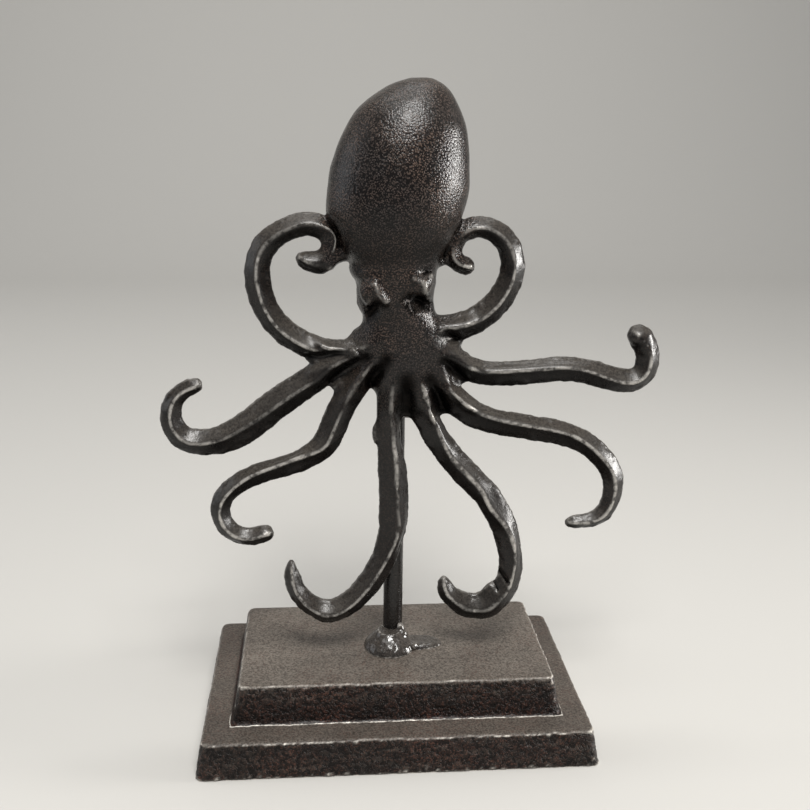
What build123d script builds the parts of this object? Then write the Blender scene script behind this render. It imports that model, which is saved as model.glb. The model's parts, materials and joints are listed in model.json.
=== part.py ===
"""Cast-iron octopus ornament, welded to a rod that stands on a stepped base.

Millimetres, +Z up, front towards -Y. The origin is on the floor, under the rod.
"""

import os
from math import cos, radians, sin, tan

from build123d import *

os.makedirs("parts", exist_ok=True)

# Base casting: two drafted tiers, with a ledge all round between them, and a hollow underside.
upper_tier_width = 103.0
upper_tier_depth = 57.0
upper_tier_height = 12.0
lower_tier_height = 11.4
side_ledge_width = 8.5
front_ledge_width = 9.5
tier_draft = 10.0
tier_corner_radius = 2.4
tier_edge_radius = 0.9
step_fillet_radius = 1.1
base_wall = 5.0
base_height = lower_tier_height + upper_tier_height
lower_tier_inset = lower_tier_height * tan(radians(tier_draft))
upper_tier_inset = upper_tier_height * tan(radians(tier_draft))
lower_top_width = upper_tier_width + 2 * side_ledge_width
lower_top_depth = upper_tier_depth + 2 * front_ledge_width
upper_top_width = upper_tier_width - 2 * upper_tier_inset
upper_top_depth = upper_tier_depth - 2 * upper_tier_inset

# Support rod, let into a hole in the roof of the base and into a socket in the web.
rod_diameter = 6.35
rod_length = 98.5
rod_hole_clearance = 0.1
rod_socket_depth = 12.6
rod_radius = rod_diameter / 2

# Weld at the foot of the rod, thickest in front, with a flat smear of metal to its right.
foot_weld_width = 17.0
foot_weld_depth = 17.5
foot_weld_height = 6.0
foot_weld_side_offset = 1.3
foot_weld_front_offset = 3.4
foot_weld_level_shares = (0.0, 0.3, 0.65, 1.0)
foot_weld_girth_shares = (1.0, 0.92, 0.68, 0.44)
smear_width = 17.0
smear_depth = 9.0
smear_height = 1.3
smear_side_offset = 8.0
smear_front_offset = 2.6
smear_level_shares = (0.0, 0.6, 1.0)
smear_girth_shares = (1.0, 0.9, 0.62)

# Weld under the web, where the rod meets the octopus.
head_weld_width = 13.0
head_weld_height = 9.5
head_weld_drop = 0.4
head_weld_level_shares = (0.0, 0.3, 0.65, 0.9, 1.0)
head_weld_girth_shares = (0.56, 0.72, 0.95, 0.9, 0.7)

# The arms, web, head and mantle share one upright plane in front of the rod.
octopus_plane_offset = 7.3

# Web, where the arms meet, and the head above it, as level ovals from the neck down. The front
# falls back towards the web, so that the ridges of the arms stand out of it.
web_width = 33.5
web_depth = 22.0
web_side_offset = 1.3
web_drop_share = 0.644
head_height = 45.2
head_level_shares = (0.0, 0.062, 0.18, 0.27, 0.35, 0.44, 0.55, 0.66, 0.775, 0.875, 0.945, 0.985)
head_girth_shares = (0.387, 0.363, 0.337, 0.331, 0.345, 0.43, 0.485, 0.485, 0.395, 0.293, 0.205, 0.12)
head_shift_shares = (-0.079, -0.067, -0.057, -0.039, 0.0, -0.005, 0.0, 0.012, 0.08, 0.087, 0.07, 0.06)
head_depth_shares = (0.49, 0.47, 0.432, 0.407, 0.389, 0.38, 0.368, 0.341, 0.293, 0.239, 0.177, 0.1)
head_back_shares = (0.0, 0.0, 0.009, 0.025, 0.043, 0.061, 0.073, 0.068, 0.057, 0.043, 0.032, 0.018)

# Eyes: a brow that slants down to the middle, over a hollow, the right one a little higher.
eye_side_share = 0.2
eye_middle_share = -0.066
eye_forward_share = 0.305
eye_drop_share = 0.11
eye_step_share = 0.03
brow_length = 10.0
brow_thickness = 7.0
brow_slant = 56.0
eye_hollow_radius = 2.7
eye_hollow_drop = 5.8
eye_hollow_lead = 1.4

# Mantle, as level ovals from the neck up, leaning a little to the right.
mantle_width = 40.8
mantle_depth = 34.0
mantle_height = 53.9
mantle_level_shares = (0.0, 0.06, 0.13, 0.2, 0.3, 0.4, 0.5, 0.6, 0.7, 0.78, 0.85, 0.9, 0.945, 0.975, 0.993)
mantle_girth_shares = (
    0.318, 0.342, 0.397, 0.442, 0.484, 0.5, 0.495, 0.475, 0.442, 0.401, 0.345, 0.286, 0.217, 0.145, 0.081
)
mantle_shift_shares = (
    -0.033, -0.035, -0.041, -0.036, -0.028, -0.01, 0.0, 0.015, 0.034, 0.052, 0.067, 0.089, 0.113, 0.128, 0.137
)

# Levels and planes that the sizes above give.
rod_foot_level = base_height - base_wall
web_foot_level = rod_foot_level + rod_length - rod_socket_depth
neck_level = web_foot_level + head_height
web_level = neck_level - web_drop_share * head_height
octopus_plane = Plane.XZ.offset(octopus_plane_offset)
brow_tilt = radians(brow_slant)

# Arms: section of the bar and spacing of the sections along it.
arm_depth = 7.6
arm_ridge_share = 0.09
arm_side_share = 0.13
arm_back_share = 0.2
arm_root_swell_share = 0.45
arm_swell_length = 16.0
station_pitch = 4.2
girth_place_shares = (0.0, 0.25, 0.5, 0.75, 1.0)
tip_angles = (25, 50, 72)
hang_clearance = 12.0

# Each arm starts inside the web, at shares of its width each way from its centre, and is a chain
# of tangent bends: shares of the arm's length, and the degrees turned along each one. The two
# hanging arms end above the base by a clearance, and hang down by a share of their length.
left_loop_length = 90.5
left_loop_width = 7.6
left_loop_tip = 4.0
left_loop_heading = 180.0
left_loop_root_shares = (-0.218, 0.107)
left_loop_run_shares = (0.149, 0.066, 0.083, 0.127, 0.099, 0.105, 0.122, 0.055, 0.094, 0.066, 0.033)
left_loop_turns = (-4, -18, -12, -34, -25, -35, -38, -44, -97, -68, -16)
left_loop_girth_shares = (1.1, 1.0, 1.02, 0.92, 0.8)

left_raised_length = 86.0
left_raised_width = 9.0
left_raised_tip = 1.5
left_raised_heading = -147.0
left_raised_root_shares = (-0.397, 0.134)
left_raised_run_shares = (0.157, 0.140, 0.116, 0.116, 0.128, 0.047, 0.163, 0.081, 0.052)
left_raised_turns = (1, 2, 4, -13, -29, -22, -95, -34, -8)
left_raised_girth_shares = (1.0, 1.0, 1.08, 0.84, 0.5)

left_wavy_length = 92.5
left_wavy_width = 7.4
left_wavy_tip = 3.0
left_wavy_heading = -127.0
left_wavy_root_shares = (-0.246, 0.057)
left_wavy_run_shares = (0.130, 0.086, 0.076, 0.076, 0.097, 0.065, 0.108, 0.065, 0.216, 0.043, 0.038)
left_wavy_turns = (5, 8, -1, -24, -24, -2, 14, 20, 127, 18, 4)
left_wavy_girth_shares = (1.2, 1.15, 0.9, 0.88, 0.76)

left_hanging_width = 7.8
left_hanging_tip = 8.0
left_hanging_heading = -93.0
left_hanging_root_shares = (-0.104, -0.134)
left_hanging_run_shares = (0.118, 0.045, 0.136, 0.145, 0.127, 0.109, 0.045, 0.100, 0.091, 0.082)
left_hanging_turns = (3, 4, 1.5, -10.5, -23, -14, -15, -64, -42, -24)
left_hanging_girth_shares = (0.98, 0.97, 1.03, 1.02, 0.62)
left_hanging_drop_share = 0.6964
left_hanging_drop = web_level + left_hanging_root_shares[1] * web_width - base_height - hang_clearance
left_hanging_length = (left_hanging_drop - left_hanging_width / 2) / left_hanging_drop_share

right_hanging_width = 7.8
right_hanging_tip = 6.5
right_hanging_heading = -65.0
right_hanging_root_shares = (0.072, -0.179)
right_hanging_run_shares = (0.111, 0.074, 0.111, 0.083, 0.065, 0.157, 0.088, 0.069, 0.120, 0.074, 0.051)
right_hanging_turns = (2, 3, 12, 2, -12, -19, -21, -28, -80, -36, -28)
right_hanging_girth_shares = (1.08, 0.98, 0.96, 1.03, 0.62)
right_hanging_drop_share = 0.6922
right_hanging_drop = web_level + right_hanging_root_shares[1] * web_width - base_height - hang_clearance
right_hanging_length = (right_hanging_drop - right_hanging_width / 2) / right_hanging_drop_share

right_drooping_length = 98.0
right_drooping_width = 7.9
right_drooping_tip = 3.6
right_drooping_heading = -46.0
right_drooping_root_shares = (0.224, -0.084)
right_drooping_run_shares = (0.133, 0.051, 0.071, 0.082, 0.112, 0.071, 0.102, 0.071, 0.235, 0.071)
right_drooping_turns = (5, 7, 17, 8.5, -2, -7.5, -23, -14, -105, -28)
right_drooping_girth_shares = (1.2, 1.02, 1.0, 0.85, 0.5)

right_raised_length = 86.5
right_raised_width = 7.8
right_raised_tip = 3.8
right_raised_heading = -34.0
right_raised_root_shares = (0.260, 0.182)
right_raised_run_shares = (0.139, 0.116, 0.081, 0.116, 0.127, 0.092, 0.069, 0.092, 0.069, 0.098)
right_raised_turns = (4, 27, 8, -1, -16, -3, 14, 78, 36, 36)
right_raised_girth_shares = (1.2, 1.0, 1.0, 0.98, 0.98)

right_loop_length = 77.5
right_loop_width = 7.6
right_loop_tip = 3.0
right_loop_heading = 2.0
right_loop_root_shares = (0.110, 0.310)
right_loop_run_shares = (0.135, 0.065, 0.129, 0.129, 0.135, 0.084, 0.135, 0.058, 0.071, 0.058)
right_loop_turns = (5, 12, 27, 28, 48, 33, 70, 38, 76, 24)
right_loop_girth_shares = (1.15, 1.1, 1.0, 0.86, 0.72)


def stack_ovals(rows):
    """Loft a body through level ovals, each given as its half-width, half-depth and middle."""
    with BuildPart() as body:
        for half_width, half_depth, middle in rows:
            with BuildSketch(Plane(middle)):
                Ellipse(half_width, half_depth)
        loft()
    return body.part


def share_at(place, places, shares):
    """Read a table of shares at a place between two of its rows."""
    for start, end, low, high in zip(places, places[1:], shares, shares[1:]):
        if place <= end:
            return low + (high - low) * (place - start) / (end - start)
    return shares[-1]


def lay_arm(length, width, tip, heading, root_shares, run_shares, turns, girth_shares):
    """Loft a ridged, tapering bar along a chain of tangent bends in the octopus plane."""
    start = (web_side_offset + root_shares[0] * web_width, web_level + root_shares[1] * web_width)
    along = (cos(radians(heading)), sin(radians(heading)))
    with BuildLine(octopus_plane) as route:
        for run_share, turn in zip(run_shares, turns):
            bend = JernArc(start, along, run_share * length / radians(abs(turn)), turn)
            start = bend @ 1
            along = bend % 1
    path = route.wire()
    body = path.length - tip
    count = round(body / station_pitch)
    stations = [(body * step / count, 1.0) for step in range(count + 1)]
    stations += [(body + tip * sin(radians(angle)), cos(radians(angle))) for angle in tip_angles]
    with BuildPart() as bar:
        for distance, rounding in stations:
            girth = share_at(distance / path.length, girth_place_shares, girth_shares) * rounding
            swell = 1 + arm_root_swell_share * max(0.0, 1 - distance / arm_swell_length) ** 2
            half_width = girth * width / 2
            half_depth = min(girth, rounding) * swell * arm_depth / 2
            spot = path.position_at(distance, PositionMode.LENGTH)
            facing = path.tangent_at(distance, PositionMode.LENGTH)
            with BuildSketch(Plane(spot, x_dir=octopus_plane.z_dir, z_dir=facing)):
                with BuildLine():
                    Polyline(
                        (half_depth, arm_ridge_share * half_width),
                        (arm_side_share * half_depth, half_width),
                        (-arm_side_share * half_depth, half_width),
                        (-half_depth, arm_back_share * half_width),
                        (-half_depth, -arm_back_share * half_width),
                        (-arm_side_share * half_depth, -half_width),
                        (arm_side_share * half_depth, -half_width),
                        (half_depth, -arm_ridge_share * half_width),
                        close=True,
                    )
                make_face()
        loft()
    return bar.part


# Base casting: two drafted blocks, softened edges, a hollow underside and a hole for the rod.
tiers = (
    (0, lower_tier_height, lower_top_width, lower_top_depth, lower_tier_inset),
    (lower_tier_height, base_height, upper_top_width, upper_top_depth, upper_tier_inset),
)
with BuildPart() as base_casting:
    for foot_level, top_level, width, depth, inset in tiers:
        with BuildSketch(Plane.XY.offset(foot_level)):
            RectangleRounded(width + 2 * inset, depth + 2 * inset, tier_corner_radius)
        with BuildSketch(Plane.XY.offset(top_level)):
            RectangleRounded(width, depth, tier_corner_radius)
        loft()
    ledge = base_casting.faces().filter_by(Plane.XY).sort_by(Axis.Z)[1]
    fillet(ledge.inner_wires()[0].edges(), step_fillet_radius)
    fillet(ledge.outer_wire().edges(), tier_edge_radius)
    fillet(base_casting.faces().sort_by(Axis.Z)[-1].edges(), tier_edge_radius)
    with BuildSketch():
        Rectangle(
            lower_top_width + 2 * (lower_tier_inset - base_wall),
            lower_top_depth + 2 * (lower_tier_inset - base_wall),
        )
    extrude(amount=lower_tier_height - base_wall, taper=tier_draft, mode=Mode.SUBTRACT)
    with BuildSketch(Plane.XY.offset(lower_tier_height - base_wall)):
        Rectangle(upper_tier_width - 2 * base_wall, upper_tier_depth - 2 * base_wall)
    extrude(amount=upper_tier_height, taper=tier_draft, mode=Mode.SUBTRACT)
    with Locations((0, 0, base_height)):
        Hole(rod_radius + rod_hole_clearance)
base_casting.part.label = "base_casting"

# Support rod: a round bar from the roof of the base into the web.
with BuildPart() as support_rod:
    with BuildSketch(Plane.XY.offset(rod_foot_level)):
        Circle(rod_radius)
    extrude(amount=rod_length)
support_rod.part.label = "support_rod"

# Weld at the foot of the rod: a lumpy collar on the base, and the smear beside it.
collar = [
    (
        girth * foot_weld_width / 2,
        girth * foot_weld_depth / 2,
        (-foot_weld_side_offset, -foot_weld_front_offset, base_height + level * foot_weld_height),
    )
    for level, girth in zip(foot_weld_level_shares, foot_weld_girth_shares)
]
smear = [
    (
        girth * smear_width / 2,
        girth * smear_depth / 2,
        (smear_side_offset, -smear_front_offset, base_height + level * smear_height),
    )
    for level, girth in zip(smear_level_shares, smear_girth_shares)
]
with BuildPart() as rod_foot_weld:
    add(stack_ovals(collar))
    add(stack_ovals(smear))
    add(support_rod.part, mode=Mode.SUBTRACT)
rod_foot_weld.part.label = "rod_foot_weld"

# Mantle: an egg of level ovals that leans to the right.
egg = [
    (
        girth * mantle_width,
        girth * mantle_depth,
        (shift * mantle_width, -octopus_plane_offset, neck_level + level * mantle_height),
    )
    for level, girth, shift in zip(mantle_level_shares, mantle_girth_shares, mantle_shift_shares)
]
with BuildPart() as mantle:
    add(stack_ovals(egg))
mantle.part.label = "mantle"

# Head and web: ovals from the neck down, with the brows and eye hollows and the socket for the rod.
neck_to_web = [
    (
        girth * web_width,
        depth * web_depth,
        (
            web_side_offset + shift * web_width,
            back * web_depth - octopus_plane_offset,
            neck_level - level * head_height,
        ),
    )
    for level, girth, shift, depth, back in zip(
        head_level_shares, head_girth_shares, head_shift_shares, head_depth_shares, head_back_shares
    )
]
with BuildPart() as head:
    add(stack_ovals(neck_to_web))
    for side in (-1, 1):
        eye_spot = (
            web_side_offset + (eye_middle_share + side * eye_side_share) * web_width,
            -octopus_plane_offset - eye_forward_share * web_depth,
            neck_level - (eye_drop_share - side * eye_step_share) * head_height,
        )
        along_brow = (cos(brow_tilt), 0, side * sin(brow_tilt))
        with BuildSketch(Plane(eye_spot, x_dir=along_brow, z_dir=octopus_plane.z_dir)):
            Ellipse(brow_length / 2, brow_thickness / 2)
            Rectangle(brow_length, brow_thickness, align=(Align.CENTER, Align.MAX), mode=Mode.SUBTRACT)
        revolve(axis=Axis(eye_spot, along_brow))
        with Locations(Vector(eye_spot) - Vector(0, eye_hollow_lead, eye_hollow_drop)):
            Sphere(eye_hollow_radius, mode=Mode.SUBTRACT)
    for neighbour in (mantle.part, support_rod.part):
        add(neighbour, mode=Mode.SUBTRACT)
head.part.label = "head"

# The eight arms, in order round the web, each trimmed to the body and to the arm before it.
arm_sizes = {
    "arm_left_loop": (
        left_loop_length, left_loop_width, left_loop_tip, left_loop_heading,
        left_loop_root_shares, left_loop_run_shares, left_loop_turns, left_loop_girth_shares,
    ),
    "arm_left_raised": (
        left_raised_length, left_raised_width, left_raised_tip, left_raised_heading,
        left_raised_root_shares, left_raised_run_shares, left_raised_turns, left_raised_girth_shares,
    ),
    "arm_left_wavy": (
        left_wavy_length, left_wavy_width, left_wavy_tip, left_wavy_heading,
        left_wavy_root_shares, left_wavy_run_shares, left_wavy_turns, left_wavy_girth_shares,
    ),
    "arm_left_hanging": (
        left_hanging_length, left_hanging_width, left_hanging_tip, left_hanging_heading,
        left_hanging_root_shares, left_hanging_run_shares, left_hanging_turns, left_hanging_girth_shares,
    ),
    "arm_right_hanging": (
        right_hanging_length, right_hanging_width, right_hanging_tip, right_hanging_heading,
        right_hanging_root_shares, right_hanging_run_shares, right_hanging_turns, right_hanging_girth_shares,
    ),
    "arm_right_drooping": (
        right_drooping_length, right_drooping_width, right_drooping_tip, right_drooping_heading,
        right_drooping_root_shares, right_drooping_run_shares, right_drooping_turns,
        right_drooping_girth_shares,
    ),
    "arm_right_raised": (
        right_raised_length, right_raised_width, right_raised_tip, right_raised_heading,
        right_raised_root_shares, right_raised_run_shares, right_raised_turns, right_raised_girth_shares,
    ),
    "arm_right_loop": (
        right_loop_length, right_loop_width, right_loop_tip, right_loop_heading,
        right_loop_root_shares, right_loop_run_shares, right_loop_turns, right_loop_girth_shares,
    ),
}
arms = []
for name, sizes in arm_sizes.items():
    with BuildPart() as arm:
        add(lay_arm(*sizes))
        for neighbour in (head.part, mantle.part, support_rod.part, *arms[-1:]):
            add(neighbour, mode=Mode.SUBTRACT)
    arm.part.label = name
    arms.append(arm.part)

# Weld under the web: a bead round the rod, trimmed to the web and the arms that it fills between.
bead = [
    (
        girth * head_weld_width / 2,
        girth * head_weld_width / 2,
        (0, 0, web_foot_level - head_weld_drop + level * head_weld_height),
    )
    for level, girth in zip(head_weld_level_shares, head_weld_girth_shares)
]
with BuildPart() as rod_head_weld:
    add(stack_ovals(bead))
    for neighbour in (support_rod.part, head.part, *arms):
        add(neighbour, mode=Mode.SUBTRACT)
rod_head_weld.part.label = "rod_head_weld"

built = (base_casting, support_rod, rod_foot_weld, rod_head_weld, mantle, head)
for piece in (*(block.part for block in built), *arms):
    export_step(piece, f"parts/{piece.label}.step")
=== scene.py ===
import json
import math

import bpy
import numpy as np
from mathutils import Matrix, Vector

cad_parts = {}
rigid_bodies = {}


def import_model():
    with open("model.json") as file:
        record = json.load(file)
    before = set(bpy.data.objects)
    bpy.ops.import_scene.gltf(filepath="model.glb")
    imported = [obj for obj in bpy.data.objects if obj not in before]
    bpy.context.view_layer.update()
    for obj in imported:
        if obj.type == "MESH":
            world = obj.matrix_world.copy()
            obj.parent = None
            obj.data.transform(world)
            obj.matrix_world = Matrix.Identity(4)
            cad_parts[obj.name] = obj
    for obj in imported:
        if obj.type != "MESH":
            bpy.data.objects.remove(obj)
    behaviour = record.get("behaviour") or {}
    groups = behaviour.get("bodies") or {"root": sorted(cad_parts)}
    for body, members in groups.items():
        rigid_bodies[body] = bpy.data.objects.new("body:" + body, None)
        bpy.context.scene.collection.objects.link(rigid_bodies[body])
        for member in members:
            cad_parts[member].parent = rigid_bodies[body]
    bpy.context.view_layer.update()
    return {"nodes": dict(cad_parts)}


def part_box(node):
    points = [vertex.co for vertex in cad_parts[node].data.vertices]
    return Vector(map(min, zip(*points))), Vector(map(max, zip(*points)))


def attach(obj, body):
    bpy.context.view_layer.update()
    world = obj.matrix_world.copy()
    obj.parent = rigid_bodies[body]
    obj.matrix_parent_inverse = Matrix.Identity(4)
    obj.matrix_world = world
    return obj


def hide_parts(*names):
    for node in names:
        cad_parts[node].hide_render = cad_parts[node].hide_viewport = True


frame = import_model()

MM = 0.001
MERGE_GAP = 0.01 * MM
PIECE_TRIANGLES = 200000
WEIGHT_STEPS = 20
LUMP_SEGMENTS, LUMP_RINGS = 24, 16
ACROSS_AND_UP = (0, 2)
ARM_PLANE = -7.3 * MM


# Bench work: picking up pieces, copying solids, finishing with modifiers.

def put_down():
    """Leave edit mode and let go of every object."""
    if bpy.context.object is not None and bpy.context.object.mode != "OBJECT":
        bpy.ops.object.mode_set(mode="OBJECT")
    bpy.ops.object.select_all(action="DESELECT")


def pick_up(piece):
    """Make one piece the only selected and active object."""
    put_down()
    piece.select_set(True)
    bpy.context.view_layer.objects.active = piece


def solid_copy(node):
    """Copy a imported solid's mesh into a new object and merge its loose triangles."""
    piece = bpy.data.objects.new("copy_" + node, frame["nodes"][node].data.copy())
    bpy.context.scene.collection.objects.link(piece)
    pick_up(piece)
    bpy.ops.object.mode_set(mode="EDIT")
    bpy.ops.mesh.select_all(action="SELECT")
    bpy.ops.mesh.remove_doubles(threshold=MERGE_GAP)
    bpy.ops.object.mode_set(mode="OBJECT")
    return piece


def rounded_lump(spot, size):
    """A rounded lump of metal at a spot, with its half-size each way."""
    put_down()
    bpy.ops.mesh.primitive_uv_sphere_add(
        segments=LUMP_SEGMENTS, ring_count=LUMP_RINGS, radius=MM, location=Vector(spot) * MM
    )
    lump = bpy.context.object
    bpy.ops.object.mode_set(mode="EDIT")
    bpy.ops.transform.resize(value=size, center_override=Vector(spot) * MM)
    bpy.ops.object.mode_set(mode="OBJECT")
    bpy.ops.object.transform_apply(location=True, rotation=True, scale=True)
    return lump


def join(pieces, name):
    """Join pieces into the first one and rename it."""
    pick_up(pieces[0])
    for piece in pieces[1:]:
        piece.select_set(True)
    bpy.ops.object.join()
    pieces[0].name = name
    pieces[0].data.name = name
    return pieces[0]


def finish_with(piece, kind, **settings):
    """Add a modifier to a piece and apply it."""
    pick_up(piece)
    modifier = piece.modifiers.new(kind.lower(), kind)
    for key, value in settings.items():
        setattr(modifier, key, value)
    bpy.ops.object.modifier_apply(modifier=modifier.name)


def recast(piece, grain):
    """Run the joined shells into one closed skin of even facets, and drop loose crumbs."""
    finish_with(piece, "REMESH", mode="VOXEL", voxel_size=grain, adaptivity=0.0)
    pick_up(piece)
    bpy.ops.object.mode_set(mode="EDIT")
    bpy.ops.mesh.select_all(action="DESELECT")
    bpy.ops.object.mode_set(mode="OBJECT")
    top = int(np.argmax(spots_of(piece)[:, 2]))
    piece.data.vertices[top].select = True
    bpy.ops.object.mode_set(mode="EDIT")
    bpy.ops.mesh.select_linked()
    bpy.ops.mesh.select_all(action="INVERT")
    bpy.ops.mesh.delete(type="VERT")
    bpy.ops.object.mode_set(mode="OBJECT")


def smooth(piece, passes, group=""):
    """Rub a piece smooth, all over or where a vertex group says."""
    finish_with(piece, "SMOOTH", factor=0.5, iterations=passes, vertex_group=group)


def lumps(piece, name, size, height, depth, group=""):
    """Raise and lower a piece's surface by a cloudy pattern, all over or where a vertex group says."""
    pattern = bpy.data.textures.new(name, "CLOUDS")
    pattern.noise_scale = size
    pattern.noise_depth = depth
    finish_with(
        piece, "DISPLACE", texture=pattern, texture_coords="LOCAL", strength=height,
        mid_level=0.5, vertex_group=group,
    )


# Shaping with listed moves: a piece's points as arrays, moved near spots and along lines.

def spots_of(piece):
    """The places of a piece's points, as an array."""
    spots = np.empty(len(piece.data.vertices) * 3, np.float32)
    piece.data.vertices.foreach_get("co", spots)
    return spots.reshape(-1, 3).astype(float)


def normals_of(piece):
    """The outward directions at a piece's points, as an array."""
    normals = np.empty(len(piece.data.vertices) * 3, np.float32)
    piece.data.vertex_normals.foreach_get("vector", normals)
    return normals.reshape(-1, 3).astype(float)


def move_to(piece, spots):
    """Put a piece's points at new places."""
    piece.data.vertices.foreach_set("co", spots.astype(np.float32).ravel())
    piece.data.update()


def ramp(values, low, high):
    """Rise smoothly from 0 at low to 1 at high."""
    share = np.clip((values - low) / (high - low), 0.0, 1.0)
    return share * share * (3.0 - 2.0 * share)


def fall_off(away, width, power=2):
    """Fall from 1 at a spot or line to almost nothing at twice the width."""
    return np.exp(-((away / (width * MM)) ** power))


def region(spots, middle, size):
    """How far out points lie in a rounded region: 0 at its middle and 1 at its half-size each way."""
    return np.linalg.norm((spots - np.array(middle) * MM) / (np.array(size) * MM), axis=1)


def line_gaps(flat, corners):
    """How far points are from a line with corners, and how far along the line they lie."""
    corners = np.array(corners) * MM
    lengths = np.linalg.norm(np.diff(corners, axis=0), axis=1)
    away, place = np.full(len(flat), np.inf), np.zeros(len(flat))
    for start, end, length, passed in zip(corners, corners[1:], lengths, np.cumsum(lengths) - lengths):
        share = np.clip((flat - start) @ (end - start) / length ** 2, 0.0, 1.0)
        gap = np.linalg.norm(flat - start - share[:, None] * (end - start), axis=1)
        place = np.where(gap < away, (passed + share * length) / lengths.sum(), place)
        away = np.minimum(away, gap)
    return away, place


def nudge(piece, rows, ridges_alone=False):
    """Move a piece in the plane of the arms, all through or on the front ridges alone.

    Each row has a middle, across and up, a reach, and a move across and up.
    """
    spots = spots_of(piece)
    moved = ramp(ARM_PLANE - spots[:, 1], 0.5 * MM, 3.5 * MM) if ridges_alone else 1.0
    for middle_x, middle_z, reach, across, up in rows:
        away = np.hypot(spots[:, 0] - middle_x * MM, spots[:, 2] - middle_z * MM)
        share = moved * fall_off(away, reach)
        spots[:, 0] += across * MM * share
        spots[:, 2] += up * MM * share
    move_to(piece, spots)


def push(piece, rows):
    """Push a piece's edges out or in along lines that fade at both ends.

    Each row has a width, a move across and up, and the line's corners.
    """
    spots = spots_of(piece)
    for width, across, up, *corners in rows:
        away, place = line_gaps(spots[:, ACROSS_AND_UP], corners)
        share = fall_off(away, width) * ramp(place, 0.0, 0.3) * (1.0 - ramp(place, 0.7, 1.0))
        spots[:, 0] += across * MM * share
        spots[:, 2] += up * MM * share
    move_to(piece, spots)


def stroke(piece, rows, fade_in=0.0, fade_out=0.0):
    """Raise or press the front along lines.

    Each row has a width, a lift and the line's corners. The fades are shares of its length.
    """
    spots, normals = spots_of(piece), normals_of(piece)
    front = ramp(-normals[:, 1], 0.0, 0.45)
    flat = spots[:, ACROSS_AND_UP]
    for width, lift, *corners in rows:
        away, place = line_gaps(flat, corners)
        strength = lift * MM * front * fall_off(away, width)
        if fade_in:
            strength *= ramp(place, 0.0, fade_in)
        if fade_out:
            strength *= 1.0 - ramp(place, 1.0 - fade_out, 1.0)
        spots[:, 1] -= strength
    move_to(piece, spots)


# Notes for the coats: shares kept at a piece's points.

def weigh(piece, name, weights):
    """Store a share for each point as a vertex group."""
    group = piece.vertex_groups.new(name=name)
    steps = np.round(np.clip(weights, 0.0, 1.0) * WEIGHT_STEPS).astype(int)
    for step in range(1, WEIGHT_STEPS + 1):
        chosen = np.nonzero(steps == step)[0].tolist()
        if chosen:
            group.add(chosen, step / WEIGHT_STEPS, "REPLACE")
    return group.name


def note(piece, name, shares):
    """Store a value for each point as a named layer."""
    layer = piece.data.attributes.get(name) or piece.data.attributes.new(name, "FLOAT", "POINT")
    layer.data.foreach_set("value", np.broadcast_to(shares, len(piece.data.vertices)).astype(np.float32))


def note_edges(piece, low, high, passes, wear_and_glint_amount=1.0, black=0.0):
    """Note where a piece's edges stand out and wear, with painted glints, and where its hollows take
    black painted shade.

    Low and high are how sharp an edge starts to wear and glint and is worn through. The piece is pebbled
    and takes dust and painted sheen all over until it is noted otherwise.
    """
    mesh = piece.data
    ends = np.empty(len(mesh.edges) * 2, np.int32)
    mesh.edges.foreach_get("vertices", ends)
    first, second = ends.reshape(-1, 2).T
    spots, normals = spots_of(piece), normals_of(piece)
    along = spots[second] - spots[first]
    along /= np.maximum(np.linalg.norm(along, axis=1, keepdims=True), 1e-9)
    count = np.bincount(first, minlength=len(spots)) + np.bincount(second, minlength=len(spots))
    sharp = np.bincount(first, -(along * normals[first]).sum(1), len(spots))
    sharp += np.bincount(second, (along * normals[second]).sum(1), len(spots))
    sharp /= np.maximum(count, 1)
    for _ in range(passes):
        around = np.bincount(first, sharp[second], len(spots))
        around += np.bincount(second, sharp[first], len(spots))
        sharp = 0.5 * sharp + 0.5 * around / np.maximum(count, 1)
    # Wear with painted glints along sharp edges.
    note(piece, "edge_wear_and_glint", wear_and_glint_amount * ramp(sharp, low, high))
    # Painted shade in the hollows.
    note(piece, "hollow", np.maximum(ramp(-sharp, low, high), black))
    for name in ("pebbled", "dust_and_sheen_taken"):
        note(piece, name, 1.0)


def shade_along_lines(piece, rows):
    """How much black painted shade the front takes along lines: each row has a width and the line's
    corners.
    """
    spots = spots_of(piece)
    front = ramp(-normals_of(piece)[:, 1], -0.3, 0.1)
    shares = np.zeros(len(spots))
    for width, *corners in rows:
        away, _ = line_gaps(spots[:, ACROSS_AND_UP], corners)
        shares = np.maximum(shares, front * fall_off(away, width, 3))
    return shares


def hand_over(piece, slot, coat, *nodes):
    """Finish a piece: smooth shading, its coat, its body and the solids that it stands for. The slot is
    not used.
    """
    pick_up(piece)
    bpy.ops.object.shade_smooth()
    piece.data.materials.clear()
    piece.data.materials.append(coat)
    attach(piece, "root")
    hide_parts(*nodes)


# Coats: dark lacquer over cast iron, steel and weld metal.

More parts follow.
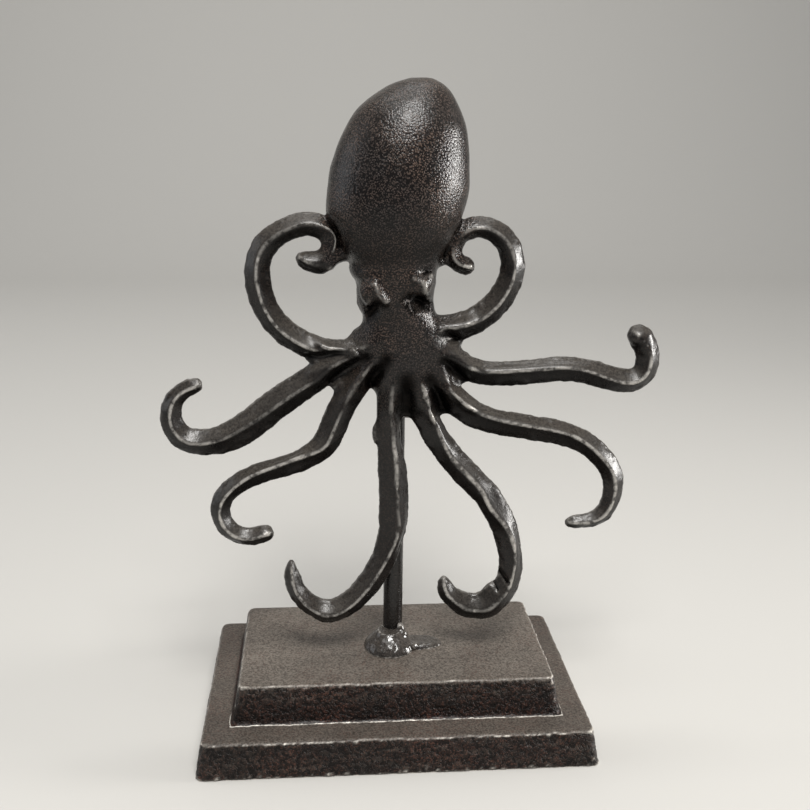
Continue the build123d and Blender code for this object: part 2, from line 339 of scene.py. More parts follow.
class Coat:
    """A material whose nodes are laid out one after another."""

    def __init__(self, name):
        self.material = bpy.data.materials.new(name)
        self.material.use_nodes = True
        self.tree = self.material.node_tree
        self.shader = self.tree.nodes["Principled BSDF"]
        self.place = self.add("ShaderNodeTexCoord").outputs["Object"]

    def fill(self, socket, value):
        """Link a socket to another node's output, or set it."""
        if isinstance(value, bpy.types.NodeSocket):
            self.tree.links.new(value, socket)
        else:
            socket.default_value = value

    def add(self, kind, inputs=(), **settings):
        """Add a node with its settings and inputs."""
        node = self.tree.nodes.new(kind)
        for key, value in settings.items():
            setattr(node, key, value)
        for key, value in dict(inputs).items():
            self.fill(node.inputs[key], value)
        return node

    def noise(self, scale, detail=3.0, rough=0.5):
        """A cloudy pattern on the piece."""
        node = self.add(
            "ShaderNodeTexNoise",
            {"Vector": self.place, "Scale": scale, "Detail": detail, "Roughness": rough},
        )
        return node.outputs["Fac"]

    def cells(self, scale, smoothness):
        """A pattern of rounded pebbles on the piece."""
        node = self.add(
            "ShaderNodeTexVoronoi",
            {"Vector": self.place, "Scale": scale, "Smoothness": smoothness},
            feature="SMOOTH_F1",
        )
        return node.outputs["Distance"]

    def layer(self, name):
        """A value that was noted at the piece's points."""
        return self.add("ShaderNodeAttribute", attribute_name=name).outputs["Fac"]

    def span(self, value, from_low, from_high, to_low=0.0, to_high=1.0):
        """Carry a value from one range over to another, kept inside it."""
        node = self.add(
            "ShaderNodeMapRange",
            {
                "Value": value, "From Min": from_low, "From Max": from_high,
                "To Min": to_low, "To Max": to_high,
            },
        )
        return node.outputs["Result"]

    def reckon(self, operation, first, second=0.0):
        """One step of arithmetic on values."""
        return self.add("ShaderNodeMath", {0: first, 1: second}, operation=operation).outputs[0]

    def times(self, first, second):
        """One value times another."""
        return self.reckon("MULTIPLY", first, second)

    def mix(self, share, first, second):
        """A share of the second colour over the first."""
        node = self.add("ShaderNodeMix", {"Factor": share}, data_type="RGBA")
        for socket, value in ((node.inputs[6], first), (node.inputs[7], second)):
            self.fill(socket, value if isinstance(value, bpy.types.NodeSocket) else (*value, 1.0))
        return node.outputs[2]

    def bump(self, height, distance, strength):
        """Fine relief of the surface."""
        node = self.add("ShaderNodeBump", {"Height": height, "Distance": distance, "Strength": strength})
        return node.outputs["Normal"]

    def set(self, **sockets):
        """Fill the shader's own sockets."""
        for key, value in sockets.items():
            self.fill(self.shader.inputs[key.replace("_", " ")], value)


def shade(colour, share):
    """A colour made darker or lighter."""
    return tuple(share * part for part in colour)


# How fine the coats' patterns are, as a scale for a metre.
BROWN_PATCHES = 70.0
DUST_AND_SHEEN_SPECKLES = 1600.0
DUST_AND_SHEEN_CLOUDS = 45.0
SIDE_PITS = 820.0
WEAR_AND_GLINT_BREAKS = 430.0
BURR_GLINT_WANDER = 320.0
GLOSS_CHANGES = 300.0


def lacquered_iron(
    name, plain, low, high, dust_and_sheen_tone, dust_and_sheen, worn_and_glint_tone, least_wear_and_glint, pebble, pebble_depth, gloss, ior,
    pits=0.0, burr_glint=False, hollow_shade=0.0, under=0.0,
):
    """Dark lacquer over pebbled iron: browner in patches, lighter with dust and painted sheen on what
    faces up, worn with painted glints along its edges.

    Plain is the colour where there are no pebbles. Low and high are the colours between the pebbles and
    on them, each in its dark and its brown patches; the darker gaps and lighter tops are partly painted
    shade and sparkle. Next come the colour of dust and painted sheen and how much of it lies, the colour
    of bared metal with painted glint, and the least share of wear and glint along an edge. The last two
    arguments paint shade: they make the hollows black, and what faces down.
    """
    coat = Coat(name)
    pebbled = coat.layer("pebbled")

    # Pebbles with darker gaps, in dark and brown patches: the lighter tops and darker gaps are partly
    # grain colour and partly painted sparkle and shade.
    patches = coat.span(coat.noise(BROWN_PATCHES, 4.0, 0.55), 0.38, 0.62)
    grain = coat.cells(pebble, 0.7)
    fine = coat.noise(pebble * 1.5, 2.0, 0.6)
    tops = coat.span(coat.reckon("SUBTRACT", fine, grain), 0.02, 0.36)
    tone = coat.mix(tops, coat.mix(patches, *low), coat.mix(patches, *high))
    tone = coat.mix(pebbled, plain, tone)
    height = coat.reckon("ADD", coat.times(grain, -1.0), coat.times(fine, 0.7))

    # Dust and painted sheen on what faces up, speckled and cloudy.
    normal = coat.add("ShaderNodeNewGeometry").outputs["Normal"]
    facing_up = coat.add("ShaderNodeSeparateXYZ", {0: normal}).outputs["Z"]
    dust_and_sheen_share = coat.times(coat.span(facing_up, 0.1, 0.75, 0.0, dust_and_sheen), coat.layer("dust_and_sheen_taken"))
    dust_and_sheen_share = coat.times(dust_and_sheen_share, coat.span(coat.noise(DUST_AND_SHEEN_SPECKLES, 3.0, 0.7), 0.41, 0.57, 0.35, 1.0))
    dust_and_sheen_share = coat.times(dust_and_sheen_share, coat.span(coat.noise(DUST_AND_SHEEN_CLOUDS, 3.0, 0.5), 0.35, 0.6, 0.75, 1.0))
    tone = coat.mix(dust_and_sheen_share, tone, dust_and_sheen_tone)

    # Pits in the upright sides, darkened in them as painted shade.
    if pits:
        upright = coat.span(coat.reckon("ABSOLUTE", facing_up), 0.35, 0.7, 1.0, 0.0)
        pitted = coat.times(coat.span(coat.noise(SIDE_PITS, 2.5, 0.6), 0.42, 0.52, 1.0, 0.0), upright)
        tone = coat.mix(coat.times(pitted, 0.85), tone, shade(plain, 0.15))
        height = coat.reckon("SUBTRACT", height, coat.times(pitted, pits))

    # Painted shade: black in the hollows and on the undersides.
    hollow = coat.layer("hollow")
    # Painted shade on what faces down.
    if under:
        hollow = coat.reckon("MAXIMUM", hollow, coat.span(facing_up, -0.1, -0.55, 0.0, under))
    tone = coat.mix(coat.times(hollow, 0.8), tone, shade(plain, 0.25))

    # Bared metal and painted glint along the edges, and along the burr at the foot of a step.
    wear_and_glint_breaks = coat.span(coat.noise(WEAR_AND_GLINT_BREAKS, 4.0, 0.65), 0.38, 0.56, least_wear_and_glint, 1.0)
    wear_and_glint = coat.times(coat.layer("edge_wear_and_glint"), wear_and_glint_breaks)
    if burr_glint:
        wander = coat.span(coat.noise(BURR_GLINT_WANDER, 3.0, 0.6), 0.3, 0.7, -0.3 * MM, 0.3 * MM)
        off_line = coat.reckon("ABSOLUTE", coat.reckon("ADD", coat.layer("burr_glint_gap"), wander))
        line = coat.times(coat.span(off_line, 0.1 * MM, 0.32 * MM, 0.7, 0.0), coat.layer("burr_glint"))
        wear_and_glint = coat.reckon("MAXIMUM", wear_and_glint, coat.times(line, wear_and_glint_breaks))
    tone = coat.mix(wear_and_glint, tone, worn_and_glint_tone)
    metal = coat.times(wear_and_glint, 0.35)
    # Painted shade: hollows that are not worn become dark metal that reflects almost nothing.
    if hollow_shade:
        covered = coat.reckon("SUBTRACT", 1.0, wear_and_glint)
        metal = coat.reckon("ADD", metal, coat.times(coat.times(hollow, hollow_shade), covered))

    dullness = coat.span(coat.noise(GLOSS_CHANGES), 0.3, 0.7, gloss + 0.09, gloss + 0.21)
    coat.set(
        Base_Color=tone,
        Roughness=coat.reckon("SUBTRACT", dullness, coat.times(pebbled, 0.14)),
        Metallic=metal,
        Normal=coat.bump(height, pebble_depth, pebbled),
        IOR=ior,
    )
    return coat.material


# The octopus takes black painted shade in its hollows and on what faces down.
octopus_coat = lacquered_iron(
    "octopus_lacquer",
    plain=(0.0065, 0.0058, 0.0054),
    low=((0.004, 0.0033, 0.003), (0.007, 0.0046, 0.0036)),
    high=((0.062, 0.049, 0.044), (0.11, 0.074, 0.057)),
    dust_and_sheen_tone=(0.07, 0.062, 0.053), dust_and_sheen=0.85, worn_and_glint_tone=(0.42, 0.4, 0.37), least_wear_and_glint=0.12,
    pebble=1900.0, pebble_depth=0.15 * MM, gloss=0.17, ior=1.38, hollow_shade=0.9, under=0.6,
)
base_coat = lacquered_iron(
    "base_lacquer",
    plain=(0.015, 0.0095, 0.008),
    low=((0.006, 0.0038, 0.0032), (0.012, 0.006, 0.0045)),
    high=((0.03, 0.019, 0.015), (0.07, 0.03, 0.021)),
    dust_and_sheen_tone=(0.142, 0.123, 0.104), dust_and_sheen=1.0, worn_and_glint_tone=(0.85, 0.8, 0.72), least_wear_and_glint=0.15,
    pebble=1500.0, pebble_depth=0.1 * MM, gloss=0.36, ior=1.3, pits=1.6, burr_glint=True,
)
rod_coat = lacquered_iron(
    "rod_lacquer",
    plain=(0.008, 0.0073, 0.007),
    low=((0.007, 0.0064, 0.006), (0.009, 0.0076, 0.0068)),
    high=((0.012, 0.0105, 0.01), (0.02, 0.016, 0.013)),
    dust_and_sheen_tone=(0.05, 0.045, 0.04), dust_and_sheen=0.5, worn_and_glint_tone=(0.3, 0.28, 0.26), least_wear_and_glint=0.1,
    pebble=1300.0, pebble_depth=0.05 * MM, gloss=0.26, ior=1.42,
)
weld_coat = lacquered_iron(
    "weld_lacquer",
    plain=(0.016, 0.014, 0.0125),
    low=((0.01, 0.009, 0.008), (0.016, 0.0125, 0.0105)),
    high=((0.034, 0.03, 0.027), (0.05, 0.04, 0.033)),
    dust_and_sheen_tone=(0.085, 0.075, 0.065), dust_and_sheen=0.6, worn_and_glint_tone=(0.5, 0.47, 0.43), least_wear_and_glint=0.15,
    pebble=1500.0, pebble_depth=0.05 * MM, gloss=0.16, ior=1.5,
)


# Octopus: the mantle, head and arms run together as one casting. The tables are in millimetres.

OCTOPUS_NODES = (
    "mantle", "head", "arm_left_loop", "arm_left_raised", "arm_left_wavy", "arm_left_hanging",
    "arm_right_hanging", "arm_right_drooping", "arm_right_raised", "arm_right_loop",
)
OCTOPUS_GRAIN = 0.46 * MM
WEB_MIDDLE = (1.3, -7.3, 119.0)
WEB_SIZE = (27.0, 14.0, 20.0)
EYES_MIDDLE = (0.0, -17.0, 142.5)
EYES_SIZE = (14.0, 9.0, 9.0)
MANTLE_MIDDLE = (0.0, -7.3, 165.0)
MANTLE_SIZE = (23.0, 20.0, 45.0)

# Lumps of metal between the arm roots, at the curls, on the left hanging arm and at a tip: a middle and
# a half-size.
CASTING_LUMPS = (
    ((-25.4, -7.3, 122.4), (2.4, 1.8, 1.3)),
    ((-18.6, -7.3, 114.8), (2.0, 1.9, 2.6)),
    ((12.2, -7.3, 108.8), (3.2, 2.2, 3.2)),
    ((18.4, -7.3, 115.4), (3.0, 1.4, 1.6)),
    ((17.4, -7.3, 127.2), (2.6, 1.8, 1.4)),
    ((-17.2, -7.3, 153.4), (3.4, 3.0, 3.4)),
    ((-21.0, -7.3, 151.4), (3.6, 2.8, 2.2)),
    ((12.4, -7.3, 151.6), (1.8, 2.6, 1.6)),
    ((-11.9, -10.0, 150.2), (2.2, 3.4, 3.4)),
    ((-6.1, -7.3, 98.8), (1.5, 1.8, 3.8)),
    ((74.4, -7.3, 128.8), (3.9, 3.7, 3.6)),
    ((76.2, -7.3, 126.0), (2.8, 3.6, 4.4)),
)
# The lumps and gaps that are rubbed smooth again: a middle and a reach.
SOFT_SPOTS = (
    ((-19.0, -7.3, 152.0), 8.0), ((74.5, -7.3, 127.5), 7.0), ((12.4, -7.3, 151.6), 4.0),
    ((2.2, -10.0, 106.0), 5.0), ((-13.0, -9.0, 150.0), 5.0), ((-26.4, -7.3, 122.2), 4.5),
    ((18.6, -7.3, 115.6), 4.5), ((17.4, -7.3, 127.2), 4.0), ((-18.6, -7.3, 114.8), 4.0),
    ((-6.6, -7.3, 98.8), 4.5),
)
# Small bends of the loops, arms, gaps and tips.
OUTLINE_MOVES = (
    (-37.9, 155.9, 12.0, -1.6, 0.6), (-26.3, 164.0, 7.0, 0.0, 0.6), (-23.0, 157.0, 3.0, 0.9, 0.2),
    (-29.0, 150.0, 3.5, 0.4, 0.2), (-69.9, 105.2, 9.0, 0.7, 0.0), (-60.5, 116.6, 6.0, 0.3, -0.7),
    (-38.4, 109.6, 11.0, -0.1, 0.5), (-19.6, 94.1, 6.0, 0.6, -0.4), (-50.1, 74.2, 7.0, -0.4, 0.0),
    (-41.0, 66.3, 4.5, 0.3, 1.0), (-4.9, 76.7, 14.0, -0.7, 0.0), (24.5, 125.5, 4.0, -0.2, -0.9),
    (57.8, 120.8, 13.0, 0.0, 0.6), (74.2, 132.5, 4.0, 0.0, -0.5), (68.6, 69.5, 5.5, 1.0, -0.6),
    (56.9, 67.6, 4.0, 0.0, 0.9), (30.5, 45.5, 4.0, -0.9, 0.9), (15.1, 43.3, 5.0, -0.8, 0.0),
    (-11.6, 140.0, 5.0, -0.5, 0.0), (-22.4, 155.5, 5.0, 1.4, -0.4), (-23.0, 149.2, 4.0, 0.6, -1.0),
    (-30.0, 152.5, 3.0, 0.6, 0.0), (-16.6, 150.6, 2.4, 0.0, 1.2), (-21.6, 164.5, 3.0, -0.3, 0.8),
    (2.7, 105.3, 3.5, 0.3, -1.4), (13.6, 106.8, 3.5, 1.0, -1.6), (-13.4, 129.6, 2.5, -0.3, 0.8),
    (-22.2, 36.2, 5.0, 0.0, -1.0),
)
# Right sides of the two hanging arms, and the inside and the underside of the right one's bend.
EDGE_PUSHES = (
    (
        3.0, 0.9, 0.5, (13.5, 100.0), (18.0, 94.8), (24.2, 88.0), (29.2, 82.4), (34.0, 76.5),
        (38.0, 69.0), (41.0, 57.0),
    ),
    (3.2, 1.5, 0.0, (0.6, 97.0), (1.2, 92.0), (1.9, 82.0), (2.0, 74.0), (1.6, 66.5), (0.4, 60.0)),
    (3.0, -0.5, 1.3, (18.5, 47.0), (22.0, 43.6), (25.9, 42.4), (29.5, 43.4), (33.5, 48.5)),
    (
        3.0, 0.0, -0.9, (15.5, 43.0), (19.5, 38.5), (24.0, 35.9), (29.0, 35.6), (33.5, 37.6),
        (37.0, 42.0),
    ),
)
# The ridges along the arms' fronts, moved off the middle of each arm.
RIDGE_MOVES = (
    (30.2, 118.6, 7.0, 0.0, 1.2), (38.9, 118.6, 7.0, 0.0, 1.0), (47.7, 119.2, 7.0, 0.0, 0.8),
    (57.0, 118.6, 7.0, 0.0, 0.7), (28.0, 104.6, 7.0, 0.2, 1.3), (36.0, 101.8, 7.0, 0.2, 1.0),
    (45.0, 99.8, 7.0, 0.2, 0.8), (54.0, 97.8, 7.0, 0.3, 0.7), (20.0, 90.0, 6.0, 0.5, 0.2),
    (9.0, 104.0, 6.0, 1.2, 0.2), (13.0, 98.0, 6.0, 1.0, 0.2), (20.0, 108.0, 6.0, 0.6, 1.0),
    (26.0, 82.6, 6.0, 0.8, 0.4), (30.6, 75.0, 7.0, -0.9, -0.5), (34.8, 67.4, 7.0, 0.9, 0.2),
    (37.4, 59.0, 7.0, 1.0, 0.0), (-1.8, 99.0, 7.0, 0.9, 0.0), (-1.5, 90.0, 7.0, 1.0, 0.0),
    (-0.8, 81.0, 7.0, 0.8, 0.0), (0.0, 72.0, 7.0, 0.9, 0.0), (-1.0, 64.0, 7.0, 1.2, 0.2),
    (-46.0, 85.0, 6.0, 0.0, 0.7), (-40.0, 87.8, 6.0, 0.0, 0.7), (-33.6, 89.6, 6.0, 0.0, 1.2),
    (-28.0, 91.6, 6.0, 0.0, 1.2), (-54.0, 97.2, 7.0, 0.0, 0.6), (-46.0, 101.0, 7.0, 0.0, 1.0),
    (-21.1, 159.0, 4.0, 1.5, 0.8),
)
# Brows, eye hollows, the notch over the right brow and gouges across the bend of the right hanging arm.
FACE_AND_GOUGES = (
    (1.4, 1.7, (-7.4, 146.4), (-4.4, 141.4)),
    (1.5, 1.2, (4.0, 148.0), (6.6, 146.6), (7.2, 144.2), (8.2, 142.0)),
    (1.6, -2.2, (-6.9, 139.6), (-8.2, 136.6)),
    (1.6, -1.8, (2.6, 141.8), (6.1, 141.2), (8.2, 139.4)),
    (0.8, -1.0, (6.8, 149.6), (8.5, 149.9)),
    (0.6, -0.9, (33.0, 52.6), (36.2, 48.6)),
    (0.6, -0.7, (31.0, 49.8), (33.2, 45.8)),
)
# Ridges that run up from the arms on to the web, from the left loop round to the right one.
WEB_RIDGES = (
    (
        1.4, 2.0, (-27.0, 129.4), (-20.5, 126.6), (-14.9, 126.1), (-10.9, 126.7), (-7.6, 128.5),
        (-3.9, 129.8),
    ),
    (1.5, 1.0, (-29.2, 117.3), (-20.4, 121.5), (-11.0, 126.0)),
    (1.5, 1.0, (-17.1, 107.7), (-13.1, 115.4), (-8.2, 122.9), (-4.7, 125.9)),
    (1.3, 0.9, (-1.5, 104.0), (-1.7, 109.3), (-1.3, 115.5), (-1.7, 120.5)),
    (1.2, 1.3, (11.9, 101.5), (10.2, 106.5), (8.3, 111.8), (7.0, 116.0), (6.4, 119.6)),
    (1.2, 1.5, (25.4, 105.6), (20.6, 109.0), (16.4, 113.4), (13.8, 118.4), (12.4, 122.4)),
    (1.2, 0.7, (21.0, 113.6), (16.6, 117.8), (12.9, 122.0)),
    (1.6, 1.3, (26.4, 119.9), (22.6, 120.7), (16.5, 125.3), (12.4, 128.8)),
    (1.5, 1.0, (24.0, 135.4), (19.7, 133.8), (12.8, 132.8), (7.9, 133.3)),
)
# Hollows between the roots of the arms.
WEB_HOLLOWS = (
    (1.5, -1.4, (-26.2, 123.5), (-17.0, 124.6), (-11.1, 125.6)),
    (1.9, -1.8, (-19.9, 115.9), (-14.5, 121.0), (-10.6, 123.9)),
    (1.9, -2.6, (-8.0, 114.7), (-6.3, 118.3), (-3.7, 123.4)),
    (2.6, -3.0, (3.1, 105.4), (2.9, 111.8), (2.5, 117.8)),
    (1.9, -2.4, (14.4, 106.4), (12.0, 112.0), (9.6, 117.6)),
    (1.7, -1.8, (20.2, 115.9), (17.1, 119.2), (13.5, 123.8)),
    (1.5, -1.5, (17.9, 128.3), (14.8, 130.4), (11.9, 131.0)),
)
# Painted shade, black, in the hollows between the arms, in the eyes and in the notch over the right
# brow.
SHADE_LINES = (
    (3.0, (2.5, 116.5), (2.9, 111.8), (3.2, 106.6)),
    (2.4, (9.8, 116.4), (12.2, 112.0), (14.6, 106.6)),
    (2.1, (-3.7, 123.4), (-6.3, 118.3), (-8.0, 114.7)),
    (1.6, (-20.0, 117.3), (-15.9, 120.3), (-12.9, 122.5), (-9.7, 124.0)),
    (1.9, (13.9, 122.5), (17.8, 119.4), (21.1, 117.1)),
    (1.2, (13.6, 129.8), (17.3, 128.9)),
    (1.7, (-7.1, 140.3), (-8.2, 136.6)),
    (1.8, (1.9, 142.1), (6.1, 141.4), (8.4, 139.1)),
    (1.1, (0.8, 141.6), (2.3, 139.8), (4.0, 138.0)),
    (0.7, (6.8, 149.6), (8.5, 149.9)),
)

octopus = join(
    [solid_copy(node) for node in OCTOPUS_NODES] + [rounded_lump(*lump) for lump in CASTING_LUMPS],
    "octopus_casting",
)
recast(octopus, OCTOPUS_GRAIN)

# The joints between the solids are rubbed smooth at the web, the eyes and the neck.
spots = spots_of(octopus)
web_reach = region(spots, WEB_MIDDLE, WEB_SIZE)
eye_share = 1.0 - ramp(region(spots, EYES_MIDDLE, EYES_SIZE), 0.8, 1.1)
smooth(octopus, 5, weigh(octopus, "knot", 1.0 - ramp(web_reach, 0.8, 1.15)))
smooth(octopus, 16, weigh(octopus, "eyes", eye_share))
smooth(octopus, 16, weigh(octopus, "above_neck", ramp(spots[:, 2], 146 * MM, 154 * MM)))
smooth(octopus, 1)

nudge(octopus, OUTLINE_MOVES)
push(octopus, EDGE_PUSHES)
nudge(octopus, RIDGE_MOVES, ridges_alone=True)
stroke(octopus, FACE_AND_GOUGES)

spots = spots_of(octopus)
softened = (1.0 - ramp(web_reach, 0.85, 1.2)) * 0.8
for middle, reach in SOFT_SPOTS:
    softened = np.maximum(softened, np.exp(-(region(spots, middle, reach) ** 4)))
smooth(octopus, 18, weigh(octopus, "softened", softened))
smooth(octopus, 2)

stroke(octopus, WEB_RIDGES, fade_in=0.25, fade_out=0.5)
stroke(octopus, WEB_HOLLOWS, fade_out=0.6)
smooth(octopus, 3)

# Lacquer is kept, with no wear or painted glint, along the parting line, on the web and about the eyes.
# Pebbles show on the mantle and the web, where little dust and painted sheen lie.
spots = spots_of(octopus)
parting = 1.0 - ramp(np.abs(spots[:, 1] - ARM_PLANE), 0.8 * MM, 2.4 * MM)
from_web = np.hypot(spots[:, 0] - WEB_MIDDLE[0] * MM, spots[:, 2] - WEB_MIDDLE[2] * MM)
mantle_share = 1.0 - ramp(region(spots, MANTLE_MIDDLE, MANTLE_SIZE), 0.9, 1.1)
web_share = 1.0 - ramp(from_web, 10 * MM, 22 * MM)
web_side = np.where(spots[:, 0] < 2.0 * MM, 0.7, 0.25) * (1.0 - ramp(from_web, 18 * MM, 26 * MM))
no_wear_or_glint = np.maximum.reduce((0.75 * parting, web_side, 0.6 * eye_share))
# Painted shade along the shade lines, where wear is held back.
black = shade_along_lines(octopus, SHADE_LINES)
note_edges(octopus, 0.045, 0.09, 3, 1.0 - np.maximum(no_wear_or_glint, black), black)
note(octopus, "pebbled", 0.2 + np.maximum(0.55 * mantle_share, 0.3 * web_share))
note(octopus, "dust_and_sheen_taken", 1.0 - 0.7 * np.maximum(mantle_share, web_share))

below_top = 1.0 - ramp(spots[:, 2], 164 * MM, 168 * MM)
parting_line = weigh(octopus, "parting_line", parting * ramp(from_web, 14 * MM, 20 * MM) * below_top)
lumps(octopus, "parting_nicks", 2.6 * MM, 0.65 * MM, 2, parting_line)
lumps(octopus, "casting_swells", 12 * MM, 0.4 * MM, 2)
lumps(octopus, "casting_pebbles", 1.2 * MM, 0.06 * MM, 1)
triangles = 2 * len(octopus.data.polygons)
finish_with(octopus, "DECIMATE", ratio=min(1.0, 0.97 * PIECE_TRIANGLES / triangles))
hand_over(octopus, "octopus_iron", octopus_coat, *OCTOPUS_NODES)


# Base: two drafted tiers with pitted sides, darkened in the pits as painted shade, and edges worn with
# painted glints.

BASE_GRAIN = 0.68 * MM
LEDGE_HEIGHT = 11.4 * MM
UPPER_TIER_HALF_WIDTH = 51.5 * MM
UPPER_TIER_HALF_DEPTH = 28.5 * MM
BURR_GLINT_OUT = 0.5 * MM
# Dents in the front, in millimetres: a middle, a reach each way and a depth.
FRONT_DENTS = (
    ((20.0, -42.0, 11.4), (5.5, 2.2, 1.8), 0.9),
    ((38.0, -42.5, 6.0), (2.4, 2.0, 1.2), 0.6),
)

base = join([solid_copy("base_casting")], "stepped_base")
recast(base, BASE_GRAIN)
smooth(base, 1)
sides = weigh(base, "sides", 1.0 - ramp(np.abs(normals_of(base)[:, 2]), 0.45, 0.8))
lumps(base, "side_swells", 7 * MM, 0.5 * MM, 2, sides)
lumps(base, "side_pits", 1.8 * MM, 0.55 * MM, 1, sides)
lumps(base, "top_grain", 2.2 * MM, 0.05 * MM, 1)
spots = spots_of(base)
for middle, reach, depth in FRONT_DENTS:
    spots[:, 1] += depth * MM * np.exp(-(region(spots, middle, reach) ** 2))
move_to(base, spots)

# Dust and painted sheen lie thicker on the top than on the ledge. A burr of bared metal with a painted
# glint runs along the front of the step.
note_edges(base, 0.09, 0.24, 1)
spots = spots_of(base)
from_step = np.maximum(
    np.abs(spots[:, 0]) - UPPER_TIER_HALF_WIDTH, np.abs(spots[:, 1]) - UPPER_TIER_HALF_DEPTH
)
burr_glint_gap = from_step - (spots[:, 2] - LEDGE_HEIGHT) - BURR_GLINT_OUT
on_top = ramp(spots[:, 2], 16 * MM, 20 * MM)
on_ledge = ramp(burr_glint_gap, -0.3 * MM, 0.4 * MM)
note(base, "dust_and_sheen_taken", (0.68 + 0.32 * on_top) * np.maximum(on_top, on_ledge))
note(base, "burr_glint_gap", burr_glint_gap)
at_front = ramp(-spots[:, 1], 20 * MM, 26 * MM)
note(base, "burr_glint", (1.0 - ramp(np.abs(from_step), 2.0 * MM, 3.0 * MM)) * at_front)
hand_over(base, "base_iron", base_coat, "base_casting")


# Rod and its two welds.

WELD_GRAIN = 0.35 * MM
# Beads of weld metal, in millimetres: a middle and a half-size.
FOOT_BEADS = (
    ((0.6, -6.4, 25.8), (3.6, 2.6, 2.4)),
    ((2.8, -4.2, 27.6), (1.9, 1.8, 2.2)),
    ((2.2, -3.2, 29.8), (1.3, 1.3, 1.6)),
    ((-4.6, -5.2, 25.2), (3.4, 2.8, 1.9)),
    ((-1.2, -9.8, 24.4), (3.8, 2.0, 1.3)),
    ((5.4, -6.0, 24.6), (2.6, 2.0, 1.6)),
)
HEAD_BEADS = (
    ((-3.4, 3.2, 106.5), (2.0, 1.8, 1.9)),
    ((1.2, 4.6, 107.5), (2.2, 1.6, 2.0)),
    ((3.8, 2.6, 106.0), (1.9, 1.8, 1.7)),
)
ROD_SIDES = 64
ROD_RINGS = 90


def lumpy_weld(node, name, beads):
    """A weld: its solid run together with rounded beads of metal."""
    weld = join([solid_copy(node)] + [rounded_lump(*bead) for bead in beads], name)
    recast(weld, WELD_GRAIN)
    smooth(weld, 4)
    lumps(weld, name + "_ripples", 2.4 * MM, 0.5 * MM, 1)
    note_edges(weld, 0.05, 0.16, 2)
    hand_over(weld, "weld_metal", weld_coat, node)


lumpy_weld("rod_foot_weld", "foot_weld", FOOT_BEADS)
lumpy_weld("rod_head_weld", "head_weld", HEAD_BEADS)

rod_low, rod_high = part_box("support_rod")
rod_radius = (rod_high.x - rod_low.x) / 2
ring_height = (rod_high.z - rod_low.z) / ROD_RINGS
put_down()
bpy.ops.mesh.primitive_circle_add(
    vertices=ROD_SIDES, radius=rod_radius, fill_type="NGON", location=(0, 0, rod_low.z)
)
rod = bpy.context.object
rod.name = "round_rod"
bpy.ops.object.mode_set(mode="EDIT")
for _ in range(ROD_RINGS):
    bpy.ops.mesh.extrude_region_move(TRANSFORM_OT_translate={"value": (0, 0, ring_height)})
bpy.ops.mesh.select_all(action="SELECT")
bpy.ops.mesh.normals_make_consistent(inside=False)
bpy.ops.object.mode_set(mode="OBJECT")
bpy.ops.object.transform_apply(location=True, rotation=True, scale=True)
lumps(rod, "rod_scale", 5 * MM, 0.12 * MM, 2)
note_edges(rod, 0.1, 0.3, 1)
hand_over(rod, "rod_steel", rod_coat, "support_rod")


# Studio: a pale floor that curves up behind, soft lamps and the photograph's viewpoint.

FLOOR_WIDTH = 3.0
FLOOR_FRONT = -0.45
FLOOR_BACK = 0.9
FLOOR_MIDDLE = (0, (FLOOR_FRONT + FLOOR_BACK) / 2, 0)
SWEEP_RADIUS = 0.5
SWEEP_STEPS = 24
BACKDROP_HEIGHT = 1.4
PAPER_TONE = (0.48, 0.468, 0.443, 1.0)
PAPER_DULLNESS = 0.9
AIR_TONE = (0.9, 0.94, 1.0, 1.0)
AIR_STRENGTH = 0.2

put_down()
bpy.ops.mesh.primitive_plane_add(size=1.0, location=FLOOR_MIDDLE)
floor = bpy.context.object
floor.name = "floor"
bpy.ops.object.mode_set(mode="EDIT")
bpy.ops.transform.resize(value=(FLOOR_WIDTH, FLOOR_BACK - FLOOR_FRONT, 1), center_override=FLOOR_MIDDLE)
bpy.ops.object.mode_set(mode="OBJECT")
bpy.ops.object.transform_apply(location=True, rotation=True, scale=True)
floor.data.edges.foreach_set(
    "select", [all(floor.data.vertices[v].co.y > 0 for v in edge.vertices) for edge in floor.data.edges]
)
floor.data.polygons.foreach_set("select", [False])
floor.data.vertices.foreach_set("select", [v.co.y > 0 for v in floor.data.vertices])
bpy.ops.object.mode_set(mode="EDIT")
bpy.ops.mesh.spin(
    steps=SWEEP_STEPS, angle=math.radians(-90), center=(0, FLOOR_BACK, SWEEP_RADIUS), axis=(1, 0, 0),
    dupli=False,
)
bpy.ops.mesh.extrude_region_move(TRANSFORM_OT_translate={"value": (0, 0, BACKDROP_HEIGHT)})
bpy.ops.mesh.select_all(action="SELECT")
bpy.ops.mesh.remove_doubles(threshold=MERGE_GAP)
bpy.ops.mesh.normals_make_consistent(inside=False)
bpy.ops.object.mode_set(mode="OBJECT")
bpy.ops.object.shade_smooth()
paper = bpy.data.materials.new("studio_paper")
paper.use_nodes = True
paper.node_tree.nodes["Principled BSDF"].inputs["Base Color"].default_value = PAPER_TONE
paper.node_tree.nodes["Principled BSDF"].inputs["Roughness"].default_value = PAPER_DULLNESS
floor.data.materials.append(paper)

world = bpy.data.worlds.new("studio_air")
world.use_nodes = True
world.node_tree.nodes["Background"].inputs["Color"].default_value = AIR_TONE
world.node_tree.nodes["Background"].inputs["Strength"].default_value = AIR_STRENGTH
bpy.context.scene.world = world


def soft_lamp(name, spot, aim, size, watts, colour, spread):
    """A rectangular lamp that faces a point. A narrow spread keeps its light off the floor beside it."""
    lamp = bpy.data.lights.new(name, "AREA")
    lamp.shape = "RECTANGLE"
    lamp.size, lamp.size_y = size
    lamp.energy = watts
    lamp.spread = math.radians(spread)
    lamp.color = colour
    holder = bpy.data.objects.new(name, lamp)
    bpy.context.scene.collection.objects.link(holder)
    holder.location = spot
    holder.rotation_euler = (Vector(aim) - Vector(spot)).to_track_quat("-Z", "Y").to_euler()


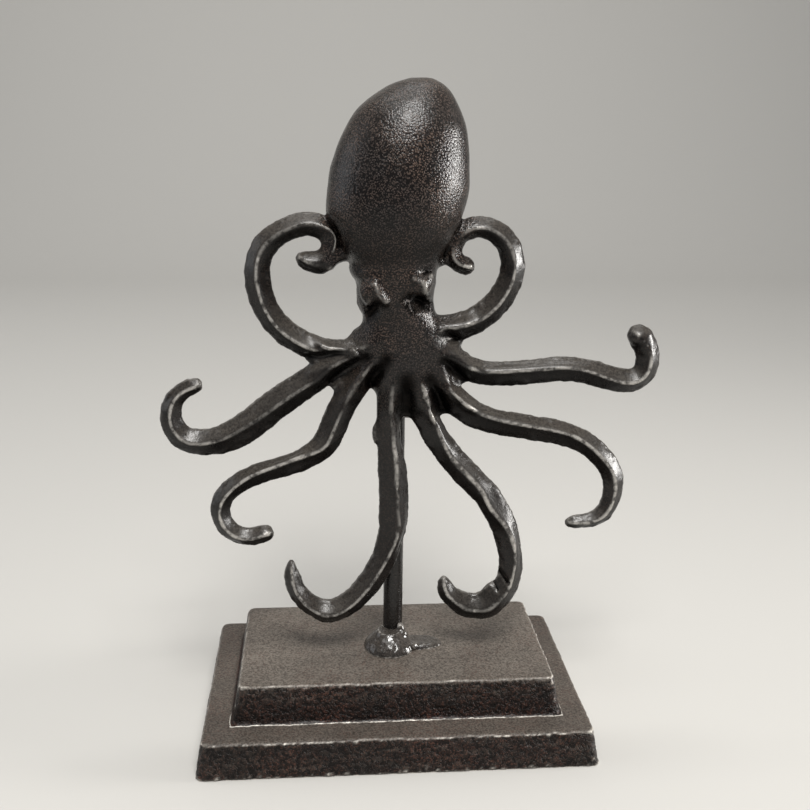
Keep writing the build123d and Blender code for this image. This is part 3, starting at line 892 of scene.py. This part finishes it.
FIGURE = (0.0, 0.0, 0.12)
HEAD = (0.0, 0.0, 0.16)
BACKDROP = (0.0, 1.4, 0.5)
WIDE, NARROW = 180.0, 60.0
soft_lamp("front_lamp", (0.035, -0.36, 0.64), HEAD, (0.25, 0.21), 4.9, (1.0, 0.985, 0.96), WIDE)
soft_lamp("ceiling_lamp", (0.0, -0.3, 1.05), FIGURE, (0.8, 0.4), 2.8, (1.0, 0.99, 0.97), WIDE)
soft_lamp("right_window", (1.2, -0.07, 0.2), HEAD, (0.44, 0.36), 2.3, (1.0, 0.98, 0.95), NARROW)
soft_lamp("left_window", (-1.0, 0.1, 0.4), FIGURE, (0.6, 0.7), 2.0, (0.94, 0.97, 1.0), WIDE)
soft_lamp("backdrop_lamp", (0.0, 0.35, 1.5), BACKDROP, (1.4, 0.4), 15.0, (1.0, 0.99, 0.97), WIDE)

EYE = np.array((-22.8, -303.7, 193.1)) * MM
YAW, PITCH, ROLL = (math.radians(angle) for angle in (4.88, 16.03, 0.8))
FOCAL_PIXELS = 1011.5
IMAGE_PIXELS = 810
SENSOR_WIDTH = 36.0
NEAREST = 0.01

ahead = Vector((math.sin(YAW) * math.cos(PITCH), math.cos(YAW) * math.cos(PITCH), -math.sin(PITCH)))
level = Vector((math.cos(YAW), -math.sin(YAW), 0.0))
above = level.cross(ahead)
across = math.cos(ROLL) * level + math.sin(ROLL) * above
upward = -math.sin(ROLL) * level + math.cos(ROLL) * above
lens = bpy.data.cameras.new("viewpoint")
lens.sensor_fit = "HORIZONTAL"
lens.sensor_width = SENSOR_WIDTH
lens.lens = FOCAL_PIXELS / IMAGE_PIXELS * SENSOR_WIDTH
lens.clip_start = NEAREST
viewpoint = bpy.data.objects.new("viewpoint", lens)
bpy.context.scene.collection.objects.link(viewpoint)
viewpoint.matrix_world = Matrix.Translation(EYE) @ Matrix((across, upward, -ahead)).transposed().to_4x4()
bpy.context.scene.camera = viewpoint
bpy.context.scene.view_settings.view_transform = "Standard"
